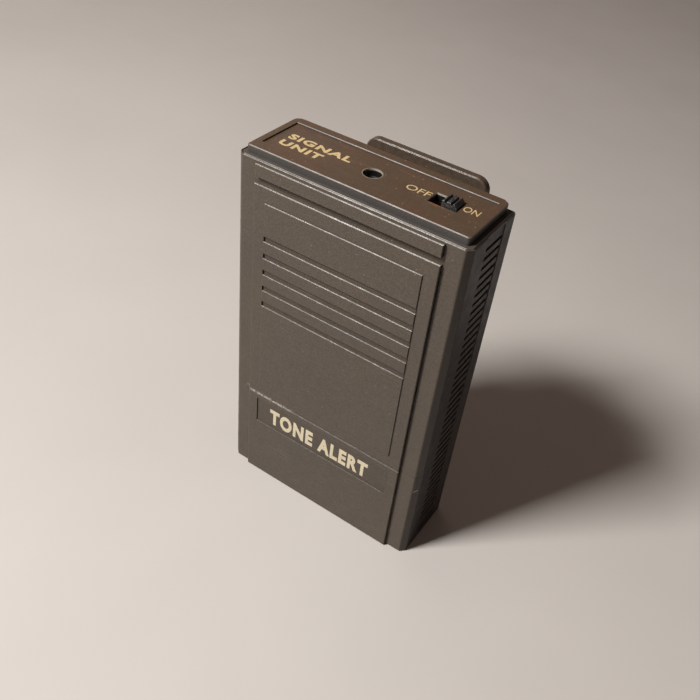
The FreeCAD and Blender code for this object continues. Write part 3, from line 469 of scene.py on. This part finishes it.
def cell_jacket():
    """A dry cell's printed steel jacket: a dark middle, a pale band at each end and bare ends."""
    look = Look("cell_jacket", 0.30, 0.35)
    x, _y, _z = look.axes()
    along = look.maths("ABSOLUTE", x)
    half = (CELL_HIGH.x - CELL_LOW.x) / 2
    wear = look.ramp(look.noise(1.5 * MM, 5.0), 0.45, 0.7)
    body = look.mix(wear, tint((0.045, 0.060, 0.075)), tint((0.070, 0.085, 0.10)))
    band = look.ramp(along, half - 9 * MM, half - 8.9 * MM)
    body = look.mix(band, body, tint((0.46, 0.43, 0.36)))
    bare = look.ramp(along, half - 1.6 * MM, half - 1.5 * MM)
    look.colour(look.mix(bare, body, tint((0.62, 0.61, 0.58))))
    lines = look.scratches(8 * MM, 0.10 * MM, (0.2, 0.1, 0.2), 0.34)
    look.roughness(look.ramp(lines, 0, 1, 0.26, 0.55))
    look.bump(look.noise(0.6 * MM, 3.0), 0.01 * MM)
    return look.material


def all_looks():
    """One material for each material slot of the record."""
    return {
        "case_plastic": case_plastic(),
        "cap_plastic": cap_plastic(),
        "plate_lacquer": plate_lacquer(),
        "label_foil": label_foil(),
        "knob_plastic": knob_plastic(),
        "plated_steel": metal("plated_steel", (0.60, 0.57, 0.50), 0.30),
        "black_steel": metal("black_steel", (0.045, 0.042, 0.040), 0.42, metallic=0.7),
        "tinned_metal": metal("tinned_metal", (0.62, 0.61, 0.58), 0.28, (900, 900, 900), 0.15),
        "piezo_brass": metal("piezo_brass", (0.72, 0.50, 0.20), 0.26),
        "phenolic": plain("phenolic", (0.24, 0.12, 0.050), 0.50, 0.30 * MM, 0.02 * MM),
        "ferrite": plain("ferrite", (0.035, 0.035, 0.038), 0.48, 0.20 * MM, 0.03 * MM),
        "rubber_black": plain("rubber_black", (0.022, 0.022, 0.022), 0.62, 0.25 * MM, 0.02 * MM),
        "epoxy_black": plain("epoxy_black", (0.018, 0.018, 0.020), 0.46, 0.16 * MM, 0.015 * MM),
        "ceramic_brown": plain("ceramic_brown", (0.42, 0.19, 0.065), 0.36, 0.35 * MM, 0.02 * MM),
        "capacitor_sleeve": plain("capacitor_sleeve", (0.020, 0.035, 0.095), 0.30, 0.30 * MM, 0.01 * MM),
        "foam": plain("foam", (0.060, 0.060, 0.060), 0.85, 0.45 * MM, 0.16 * MM, 0.35),
        "board_laminate": laminate(),
        "copper_wire": wound_wire(),
        "resistor_body": striped_resistor(),
        "cell_jacket": cell_jacket(),
    }


def dress_model():
    looks = all_looks()
    for part in frame["record"]["subparts"]:
        node = frame["nodes"][part["node"]]
        node.data.materials.clear()
        node.data.materials.append(looks[part["material_slot"]])


# ---------------------------------------------------------------- lettering

def outline_mesh(name, words, weight):
    """Words as a closed thin solid, one unit thick, from the built-in sans serif outlines."""
    curve = bpy.data.curves.new(name + "_outline", "FONT")
    curve.body = words
    curve.offset = weight
    curve.extrude = 0.5
    curve.resolution_u = 6
    curve.space_character = 1.0 + 3.6 * weight
    holder = bpy.data.objects.new(name + "_outline", curve)
    bpy.context.scene.collection.objects.link(holder)
    bpy.context.view_layer.update()
    solved = holder.evaluated_get(bpy.context.evaluated_depsgraph_get())
    mesh = bpy.data.meshes.new_from_object(solved)
    mesh.name = name
    bpy.data.objects.remove(holder)
    bpy.data.curves.remove(curve)
    return mesh


def weld(mesh):
    work = bmesh.new()
    work.from_mesh(mesh)
    bmesh.ops.remove_doubles(work, verts=work.verts, dist=1e-5)
    bmesh.ops.recalc_face_normals(work, faces=work.faces)
    work.to_mesh(mesh)
    work.free()


def lettering(line, upright, face, material, body):
    """Words drawn in a rectangle of a face: on top (upright along +Y) or in front (along +Z)."""
    name, words, left, right, low, high, weight = line
    mesh = outline_mesh(name, words, weight)
    weld(mesh)
    spans = [(min(v.co[i] for v in mesh.vertices), max(v.co[i] for v in mesh.vertices)) for i in range(3)]
    sizes = ((left * MM, right * MM), (low * MM, high * MM), (0.0, INK_HEIGHT))
    for vertex in mesh.vertices:
        u, v, w = (to[0] + (c - span[0]) / (span[1] - span[0]) * (to[1] - to[0])
                   for c, span, to in zip(vertex.co, spans, sizes))
        vertex.co = (u, v, face + w) if upright == "Y" else (u, face - w, v)
    mesh.materials.clear()
    mesh.materials.append(material)
    piece = bpy.data.objects.new(name, mesh)
    bpy.context.scene.collection.objects.link(piece)
    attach(piece, body)


def all_lettering():
    gold = ink("gold_ink", GOLD, 0.42)
    cream = ink("cream_ink", CREAM, 0.45)
    for line in GOLD_LINES:
        lettering(line, "Y", TOP_PLATE_Z, gold, "case")
    lettering(FRONT_WORDS, "Z", FRONT_PLATE_Y, cream, "door")


# ---------------------------------------------------------------- floor, lights and camera

def floor():
    look = Look("floor_vinyl", 0.60)
    clouds = look.ramp(look.noise(0.09, 3.0), 0.3, 0.7)
    look.colour(look.mix(clouds, tint(FLOOR_DARK), tint(FLOOR_PALE)))
    look.roughness(look.ramp(look.noise(0.02, 3.0), 0.3, 0.7, 0.56, 0.66))
    look.bump(look.noise(0.6 * MM, 3.0), 0.01 * MM)
    mesh = bpy.data.meshes.new("floor")
    corners = [(x * FLOOR_HALF, y * FLOOR_HALF, CASE_LOW.z) for x, y in ((-1, -1), (1, -1), (1, 1), (-1, 1))]
    mesh.from_pydata(corners, [], [(0, 1, 2, 3)])
    mesh.materials.append(look.material)
    ground = bpy.data.objects.new("floor", mesh)
    bpy.context.scene.collection.objects.link(ground)


def softbox(name, travel, distance, size, power, colour):
    """A square light that shines along travel onto the middle of the receiver."""
    lamp = bpy.data.lights.new(name, "AREA")
    lamp.size = size
    lamp.energy = power
    lamp.color = colour
    holder = bpy.data.objects.new(name, lamp)
    holder.location = CENTRE - travel.normalized() * distance
    holder.rotation_euler = travel.to_track_quat("-Z", "Y").to_euler()
    bpy.context.scene.collection.objects.link(holder)


def sky():
    world = bpy.data.worlds.new("sky")
    world.use_nodes = True
    tree = world.node_tree
    background = tree.nodes["Background"]
    direction = tree.nodes.new("ShaderNodeTexCoord").outputs["Generated"]
    split = tree.nodes.new("ShaderNodeSeparateXYZ")
    tree.links.new(direction, split.inputs["Vector"])
    rise = tree.nodes.new("ShaderNodeMapRange")
    rise.interpolation_type = "SMOOTHSTEP"
    tree.links.new(split.outputs["Z"], rise.inputs["Value"])
    for name, value in (("From Min", 0.30), ("From Max", 1.0), ("To Min", SKY_RIM), ("To Max", SKY_TOP)):
        rise.inputs[name].default_value = value
    background.inputs["Color"].default_value = tint(SKY_COLOUR)
    tree.links.new(rise.outputs["Result"], background.inputs["Strength"])
    bpy.context.scene.world = world


def camera():
    lens = bpy.data.cameras.new("camera")
    lens.lens = CAMERA_LENS
    lens.sensor_width = 36.0
    lens.clip_start = 0.01
    holder = bpy.data.objects.new("camera", lens)
    look_along = (CAMERA_AIM - CAMERA_PLACE).to_track_quat("-Z", "Y").to_matrix()
    turned = look_along @ Matrix.Rotation(CAMERA_ROLL, 3, "Z")
    holder.matrix_world = Matrix.Translation(CAMERA_PLACE) @ turned.to_4x4()
    bpy.context.scene.collection.objects.link(holder)
    bpy.context.scene.camera = holder


dress_model()
all_lettering()
floor()
softbox("key_light", KEY_TRAVEL, KEY_DISTANCE, KEY_SIZE, KEY_POWER, KEY_COLOUR)
softbox("back_fill", FILL_TRAVEL, FILL_DISTANCE, FILL_SIZE, FILL_POWER, FILL_COLOUR)
sky()
camera()
bpy.context.scene.view_settings.view_transform = "Standard"
